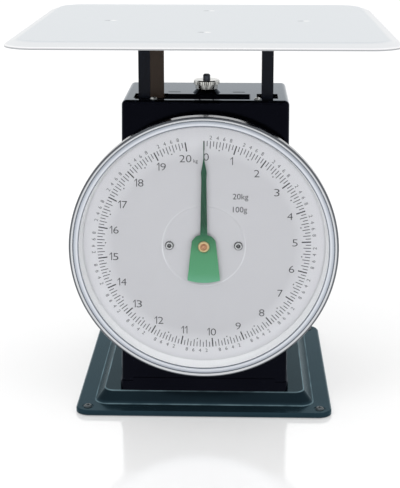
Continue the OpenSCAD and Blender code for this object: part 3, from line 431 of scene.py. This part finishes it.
def dial_silver():
    """Satin lacquered silver with painted light, lighter towards its outer edge, and painted highlights here
    and there along the step of the dished middle.
    """
    mat, tree = new_material("dial_silver")
    silver, rim_light, step_highlight = (210, 209, 212), (244, 243, 246), (240, 240, 243)
    reach, step_r = 100 * MM, 32.5 * MM
    shader = principled(tree, linear(*silver), rough=0.42, metallic=0.25)
    # Painted light that lifts the plate towards its outer edge, against the shade of the case.
    lacquer_and_rim_light = ramp(tree, from_axis(tree), 0, reach, shades(0, (70, silver), (93, rim_light)))
    # A painted highlight, broken by noise, along the step of the dished middle.
    step = stripe(tree, from_axis(tree), step_r, half_w=0.7 * MM, core=0.0)
    patchy = to_range(tree, noise(tree, scale=30, detail=1.0), -0.6, 1.6)
    step_highlight_share = maths(tree, "MULTIPLY", step, patchy, clamp=True)
    tree.links.new(blend_colours(tree, step_highlight_share, lacquer_and_rim_light, linear(*step_highlight)), shader.inputs["Base Color"])
    tree.links.new(to_range(tree, noise(tree, scale=1200), 0.38, 0.46), shader.inputs["Roughness"])
    finish_with(tree, shader.outputs["BSDF"])
    return mat


def needle_green():
    """Green paint, lightest at the paddle's foot and darkest on the bar."""
    mat, tree = new_material("needle_green")
    shader = principled(tree, linear(40, 110, 75), rough=0.35, ior=1.25)
    low, high = DIAL_Z - 30 * MM, DIAL_Z + 90 * MM
    rising = shades(
        DIAL_Z, (-29, (108, 180, 142)), (-22, (91, 166, 121)), (-6, (84, 157, 111)), (5, (62, 128, 88)),
        (9, (45, 108, 76)), (18, (26, 74, 52)), (60, (28, 80, 57)),
    )
    colour = ramp(tree, height(tree), low, high, rising)
    tree.links.new(colour, shader.inputs["Base Color"])
    finish_with(tree, shader.outputs["BSDF"])
    return mat


def lens_clear():
    """Clear cover: see-through, with the mirror of its outer surface laid over."""
    mat, tree = new_material("lens_clear")
    clear = tree.nodes.new("ShaderNodeBsdfTransparent")
    clear.inputs["Color"].default_value = (0.985, 0.99, 0.995, 1)
    mirror = tree.nodes.new("ShaderNodeBsdfGlossy")
    mirror.inputs["Roughness"].default_value = 0.04
    slant = tree.nodes.new("ShaderNodeFresnel")
    slant.inputs["IOR"].default_value = 1.35
    geometry = tree.nodes.new("ShaderNodeNewGeometry")
    outside = to_range(tree, geometry.outputs["Backfacing"], 1.0, 0.0)
    both = tree.nodes.new("ShaderNodeMixShader")
    tree.links.new(maths(tree, "MULTIPLY", outside, slant.outputs["Fac"]), both.inputs["Fac"])
    tree.links.new(clear.outputs["BSDF"], both.inputs[1])
    tree.links.new(mirror.outputs["BSDF"], both.inputs[2])
    finish_with(tree, both.outputs["Shader"])
    return mat


def rubber():
    """Matt dark rubber with a fine grain."""
    mat, tree = new_material("foot_rubber")
    shader = principled(tree, linear(38, 38, 38), rough=0.8)
    grain = bump(tree, noise(tree, scale=1500), distance=0.05 * MM)
    tree.links.new(grain, shader.inputs["Normal"])
    finish_with(tree, shader.outputs["BSDF"])
    return mat


def printed_ink(name, colour):
    """Matt ink of a colour from 0 to 255."""
    mat, tree = new_material(name)
    shader = principled(tree, linear(*colour), rough=0.6)
    tree.links.new(to_range(tree, noise(tree, scale=700), 0.5, 0.7), shader.inputs["Roughness"])
    finish_with(tree, shader.outputs["BSDF"])
    return mat


MATERIALS = {
    "base_enamel": base_enamel(),
    "body_paint": body_paint(),
    "pan_steel": pan_steel(),
    "post_paint": paint("post_paint", (17, 21, 30), (21, 25, 35), ior=1.2),
    "bronze_paint": paint("bronze_paint", (60, 47, 37), (52, 41, 33), rough=0.4),
    "frame_steel": metal("frame_steel", (176, 179, 180), rough=0.42),
    "fastener_steel": grimy_metal(
        "fastener_steel", (186, 187, 184), recess_shade=(40, 41, 42), rough=0.28, reach=1.2 * MM,
    ),
    "dark_screw": paint("dark_screw", (60, 70, 75), (72, 82, 86), coat=0.3),
    "dark_steel": metal("dark_steel", (70, 73, 80), rough=0.35),
    "knob_chrome": grimy_metal(
        "knob_chrome", (214, 214, 210), recess_shade=(70, 70, 68), rough=0.18, reach=2.0 * MM,
    ),
    "brass": metal("brass", (190, 178, 142), rough=0.3),
    "case_white": paint("case_white", (250, 250, 250), (246, 246, 247), coat=0.3),
    "dial_silver": dial_silver(),
    "bezel_steel": bezel_steel(),
    "lens_clear": lens_clear(),
    "needle_green": needle_green(),
    "spring_steel": metal("spring_steel", (186, 186, 182), rough=0.3),
    "foot_rubber": rubber(),
}
COPPER = metal("hub_copper", (198, 150, 116), rough=0.3)
HUB_BRASS = ringed_metal("hub_brass", (
    (2.7, (178, 128, 92)), (3.2, (205, 184, 138)), (4.2, (196, 178, 132)), (4.5, (150, 132, 92)),
), rough=0.3, reach=6 * MM)
SCREW_LOW, SCREW_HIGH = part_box("dial_screws")
SCREW_BESIDE = SCREW_HIGH.x - (SCREW_HIGH.z - SCREW_LOW.z) / 2
# The dial screws' dark rings are painted shade: in the drive socket and as a shadow round the edge of the
# head.
DIAL_SCREW = ringed_metal("dial_screw", (
    (0.0, (150, 150, 150)), (0.7, (72, 72, 74)), (1.6, (80, 80, 82)),
    (2.0, (206, 207, 207)), (2.7, (200, 201, 201)), (3.0, (104, 105, 106)),
), rough=0.28, reach=4 * MM, beside=SCREW_BESIDE)
INK_DARK = printed_ink("ink_dark", (50, 50, 54))
INK_GREY = printed_ink("ink_grey", (86, 86, 91))

for part in frame["record"]["subparts"]:
    shown = nodes[part["node"]].data
    shown.materials.clear()
    shown.materials.append(MATERIALS[part["material_slot"]])
nodes["hub_screw"].data.materials[0] = COPPER
nodes["needle_hub"].data.materials[0] = HUB_BRASS
nodes["dial_screws"].data.materials[0] = DIAL_SCREW


# Meshes


def make_piece(name, verts, faces, mat, body, slot, smooth=False):
    """A new piece in the scene, on a body where one is given. Its slot of the record is not used."""
    mesh = bpy.data.meshes.new(name)
    mesh.from_pydata([tuple(v) for v in verts], [], faces)
    mesh.validate()
    mesh.update()
    mesh.materials.append(mat)
    if smooth:
        for face in mesh.polygons:
            face.use_smooth = True
    obj = bpy.data.objects.new(name, mesh)
    bpy.context.scene.collection.objects.link(obj)
    if body:
        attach(obj, body)
    return obj


def on_dial(right, up, off):
    """A place on the dial, from the needle's axis, standing off the plate."""
    return Vector((HUB.x + right, PLATE_FRONT - off, DIAL_Z + up))


def around(turn):
    """Direction on the dial at a turn clockwise from its top."""
    return Vector((math.sin(turn), math.cos(turn)))


def raised(outline):
    """Closed flat solid of ink over an outline of (right, up) places on the dial."""
    count = len(outline)
    verts = [on_dial(x, z, 0) for x, z in outline] + [on_dial(x, z, INK) for x, z in outline]
    faces = [list(range(count))[::-1], list(range(count, 2 * count))]
    faces += [[i, (i + 1) % count, count + (i + 1) % count, count + i] for i in range(count)]
    return verts, faces


def joined(parts):
    """Several solids of vertices and faces as one."""
    verts, faces = [], []
    for some_verts, some_faces in parts:
        start = len(verts)
        verts += some_verts
        faces += [[start + i for i in face] for face in some_faces]
    return verts, faces


def tick(turn, inner, outer, width):
    """A bar of the scale, from its inner to its outer end."""
    along = around(turn)
    across = Vector((along.y, -along.x)) * width / 2
    near, far = along * inner, along * outer
    return raised([near - across, far - across, far + across, near + across])


def dot(turn, radius, half_w):
    """A round dot of the scale, at a radius from the needle's axis."""
    centre = around(turn) * radius
    corners = 10
    return raised([
        centre + Vector((math.cos(a), math.sin(a))) * half_w
        for a in (2 * math.pi * i / corners for i in range(corners))
    ])


def flat_text(text, thin):
    """Text in the plain built-in font, its strokes made thinner, as places and faces in a plane."""
    curve = bpy.data.curves.new("lettering", "FONT")
    curve.body = text
    curve.size = 1.0
    curve.resolution_u = 3
    curve.offset = -thin
    holder = bpy.data.objects.new("lettering", curve)
    bpy.context.scene.collection.objects.link(holder)
    bpy.context.view_layer.update()
    flat = bpy.data.meshes.new_from_object(holder.evaluated_get(bpy.context.evaluated_depsgraph_get()))
    bpy.data.objects.remove(holder)
    bpy.data.curves.remove(curve)
    places = [v.co.to_2d() for v in flat.vertices]
    faces = [list(face.vertices) for face in flat.polygons]
    bpy.data.meshes.remove(flat)
    return places, faces


def lettering(text, centre, cap, turn=0.0, thin=0.0, width=None):
    """Text as a closed flat solid of ink, its capitals cap high, stretched to a width where one is given."""
    places, faces = flat_text(text, thin)
    left, right = min(place.x for place in places), max(place.x for place in places)
    middle = Vector(((left + right) / 2, CAP_SHARE / 2))
    up = cap / CAP_SHARE
    across = width / (right - left) if width else up
    shape = Matrix.Rotation(-turn, 2) @ Matrix(((across, 0), (0, up)))
    places = [Vector(centre) + shape @ (place - middle) for place in places]
    edges = [(a, b) for face in faces for a, b in zip(face, face[1:] + face[:1])]
    shared = set(edges)
    count = len(places)
    verts = [on_dial(p.x, p.y, INK) for p in places] + [on_dial(p.x, p.y, 0) for p in places]
    solid = faces + [[count + i for i in reversed(face)] for face in faces]
    solid += [[b, a, count + a, count + b] for a, b in edges if (b, a) not in shared]
    return verts, solid


def figure_one(centre, cap, width, stroke):
    """The figure 1 with a flag at its head, which the built-in font lacks."""
    right, left, top = width / 2, -width / 2, cap / 2
    stem, flag_tip = right - stroke, top - 0.26 * cap
    outline = [
        (right, -top), (right, top), (stem, top), (left, flag_tip), (left, flag_tip - 1.1 * stroke),
        (stem, top - 1.3 * stroke), (stem, -top),
    ]
    return raised([Vector(centre) + Vector(place) for place in outline[::-1]])


def numeral(text, centre):
    """A number of the dial, figure by figure, each of an even width."""
    cap, figure_w, one_w, gap, stroke = 6.2 * MM, 4.2 * MM, 2.0 * MM, 0.8 * MM, 0.62 * MM
    widths = [one_w if figure == "1" else figure_w for figure in text]
    at = -(sum(widths) + gap * (len(text) - 1)) / 2
    parts = []
    for figure, width in zip(text, widths):
        place = Vector(centre) + Vector((at + width / 2, 0))
        if figure == "1":
            parts.append(figure_one(place, cap, width, stroke))
        else:
            parts.append(lettering(figure, place, cap, thin=0.01, width=width))
        at += width + gap
    return parts


def printed_scale():
    """Ticks, dots, digits and numbers of the dial, with the 0 set a little beside the needle."""
    major, minor, digits, numbers = [], [], [], []
    for step in range(KILOGRAMS * STEPS_PER_KG + 1):
        turn = step * STEP_TURN
        part = step % STEPS_PER_KG
        if part == 0:
            major.append(tick(turn, MAJOR_INNER_R, TICK_OUTER_R, MAJOR_W))
        else:
            inner = ODD_INNER_R if part % 2 else EVEN_INNER_R
            minor.append(tick(turn, inner, TICK_OUTER_R, MINOR_W))
        if part == 5:
            minor.append(dot(turn, DOT_R, DOT_HALF_W))
        if part in (2, 4, 6, 8):
            upright = turn if math.cos(turn) > 0 else turn + math.pi
            digits.append(lettering(str(part), around(turn) * SMALL_DIGIT_R, SMALL_DIGIT_CAP, upright))
    for kg in range(KILOGRAMS):
        place = around(kg * STEPS_PER_KG * STEP_TURN) * NUMERAL_R
        numbers += numeral(str(kg), place if kg else place + Vector((ZERO_ASIDE, 0)))
    numbers += numeral(str(KILOGRAMS), FULL_PLACE)
    numbers.append(lettering("kg", UNIT_PLACE, UNIT_CAP))
    numbers.append(lettering("20kg", CAPACITY_PLACE, RATING_CAP))
    numbers.append(lettering("100g", GRADUATION_PLACE, RATING_CAP))
    for name, parts, mat in (
        ("dial_major_ticks", major, INK_DARK),
        ("dial_minor_ticks", minor, INK_GREY),
        ("dial_small_digits", digits, INK_GREY),
        ("dial_numerals", numbers, INK_DARK),
    ):
        make_piece(name, *joined(parts), mat, "root", "dial_silver")


# Springs


def swept(points, radius, sides):
    """Tube along points, with its ends closed, turned from ring to ring without twist."""
    verts, faces = [], []
    side = None
    for i, point in enumerate(points):
        ahead = (points[min(i + 1, len(points) - 1)] - points[max(i - 1, 0)]).normalized()
        side = (side - ahead * side.dot(ahead)).normalized() if side else ahead.orthogonal().normalized()
        up = ahead.cross(side)
        for k in range(sides):
            a = 2 * math.pi * k / sides
            verts.append(point + (side * math.cos(a) + up * math.sin(a)) * radius)
    for i in range(len(points) - 1):
        for k in range(sides):
            a, b = i * sides + k, i * sides + (k + 1) % sides
            faces.append([a, b, b + sides, a + sides])
    last = (len(points) - 1) * sides
    faces.append(list(range(sides))[::-1])
    faces.append([last + k for k in range(sides)])
    return verts, faces


def stretching_spring(node):
    """Coiled wire in place of a spring's solid.

    Its top coils hang from the yoke; the rest stretches down to the crossbar.
    The two pieces meet at a cut between coils.
    """
    coil_r, wire_r, wire_sides, coils, top_coils = 8 * MM, 1.4 * MM, 8, 28, 4
    per_turn, loop_steps, loop_turn = 20, 16, math.radians(250)
    low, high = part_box(node)
    axis = Vector(((low.x + high.x) / 2, (low.y + high.y) / 2, 0))
    foot = low.z + coil_r + wire_r
    top = high.z - coil_r - wire_r

    def loop(z, sign):
        return [
            axis + Vector((coil_r * math.cos(a), 0, z + sign * coil_r * math.sin(a)))
            for a in (loop_turn * i / loop_steps for i in range(loop_steps, 0, -1))
        ]

    steps = coils * per_turn
    coil = []
    for i in range(steps + 1):
        a = 2 * math.pi * i / per_turn
        rise = foot + (top - foot) * i / steps
        coil.append(axis + Vector((coil_r * math.cos(a), coil_r * math.sin(a), rise)))
    cut = (coils - top_coils) * per_turn
    for name, points, body, end in (
        (node + "_wire", loop(foot, -1) + coil[:cut + 1], "platform", foot),
        (node + "_top_wire", coil[cut:] + loop(top, 1)[::-1], "zero_hanger", top),
    ):
        wire = swept(points, wire_r, wire_sides)
        obj = make_piece(name, *wire, MATERIALS["spring_steel"], None, "spring_steel", smooth=True)
        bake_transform(obj)
        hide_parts(node)


printed_scale()
for side_spring in ("left_spring", "right_spring"):
    stretching_spring(side_spring)


# Studio


def seen(tree):
    """1 for what the picture shows, straight on or in metal and glass; 0 for light that falls on things."""
    path = tree.nodes.new("ShaderNodeLightPath")
    mirrored = maths(tree, "MAXIMUM", path.outputs["Is Camera Ray"], path.outputs["Is Glossy Ray"])
    return maths(tree, "MAXIMUM", mirrored, path.outputs["Is Transmission Ray"])


def floor():
    """White polished floor. Its glow whitens what is lit and keeps the object's shadow and reflection."""
    size, glow_strength = 6.0, 0.27
    corners = [(-size, -size, 0), (size, -size, 0), (size, size, 0), (-size, size, 0)]
    mesh = bpy.data.meshes.new("studio_floor")
    mesh.from_pydata(corners, [], [[0, 1, 2, 3]])
    mat, tree = new_material("studio_floor")
    surface = principled(tree, (0.72, 0.72, 0.72, 1), rough=0.12, ior=2.4)
    tree.links.new(to_range(tree, noise(tree, scale=60), 0.1, 0.14), surface.inputs["Roughness"])
    glow = tree.nodes.new("ShaderNodeEmission")
    glow.inputs["Color"].default_value = WHITE
    tree.links.new(to_range(tree, seen(tree), 0.0, glow_strength), glow.inputs["Strength"])
    both = tree.nodes.new("ShaderNodeAddShader")
    tree.links.new(surface.outputs["BSDF"], both.inputs[0])
    tree.links.new(glow.outputs["Emission"], both.inputs[1])
    finish_with(tree, both.outputs["Shader"])
    mesh.materials.append(mat)
    obj = bpy.data.objects.new("studio_floor", mesh)
    bpy.context.scene.collection.objects.link(obj)


def world():
    """White behind the object, also in what it reflects; for lighting, a soft room, brighter above."""
    at_horizon, overhead = 0.75, 0.85
    made = bpy.data.worlds.new("studio")
    made.use_nodes = True
    bpy.context.scene.world = made
    tree = made.node_tree
    tree.nodes.clear()
    coords = tree.nodes.new("ShaderNodeTexCoord")
    apart = tree.nodes.new("ShaderNodeSeparateXYZ")
    tree.links.new(coords.outputs["Generated"], apart.inputs["Vector"])
    room = tree.nodes.new("ShaderNodeBackground")
    tree.links.new(to_range(tree, apart.outputs["Z"], at_horizon, overhead), room.inputs["Strength"])
    white = tree.nodes.new("ShaderNodeBackground")
    for background in (room, white):
        background.inputs["Color"].default_value = WHITE
    both = tree.nodes.new("ShaderNodeMixShader")
    tree.links.new(seen(tree), both.inputs["Fac"])
    tree.links.new(room.outputs["Background"], both.inputs[1])
    tree.links.new(white.outputs["Background"], both.inputs[2])
    out = tree.nodes.new("ShaderNodeOutputWorld")
    tree.links.new(both.outputs["Shader"], out.inputs["Surface"])


def lamp(name, place, target, size, power):
    """Soft area lamp that metal doesn't mirror, so that the steel shows the white room alone."""
    light = bpy.data.lights.new(name, "AREA")
    light.shape = "RECTANGLE"
    light.size, light.size_y = size
    light.energy = power
    obj = bpy.data.objects.new(name, light)
    obj.location = place
    obj.rotation_euler = (Vector(target) - Vector(place)).to_track_quat("-Z", "Y").to_euler()
    obj.visible_glossy = False
    bpy.context.scene.collection.objects.link(obj)


def camera():
    """Looks slightly down and to the left, framed by a small downward shift of the lens."""
    focal_px, frame_w, frame_h = 1280.3, 400, 488
    principal_above_centre = 0.17
    pitch, turn = math.radians(12.563), math.radians(1.73)
    data = bpy.data.cameras.new("camera")
    data.sensor_fit = "HORIZONTAL"
    data.sensor_width = 36.0
    data.lens = focal_px * data.sensor_width / frame_w
    data.shift_y = -principal_above_centre * frame_h / frame_w
    data.clip_start, data.clip_end = 0.05, 50
    obj = bpy.data.objects.new("camera", data)
    obj.location = (0.026, -1.0471, 0.4188)
    obj.rotation_euler = (math.pi / 2 - pitch, 0, turn)
    bpy.context.scene.collection.objects.link(obj)
    bpy.context.scene.camera = obj


floor()
world()
lamp("key", place=(-0.9, -1.1, 1.3), target=(0, 0, 0.15), size=(0.8, 0.8), power=7)
lamp("fill", place=(1.2, -0.9, 0.8), target=(0, 0, 0.15), size=(0.7, 1.0), power=4)
lamp("top", place=(0, 0.1, 1.5), target=(0, 0, 0.2), size=(1.2, 1.0), power=3)
camera()
bpy.context.scene.view_settings.view_transform = "Standard"
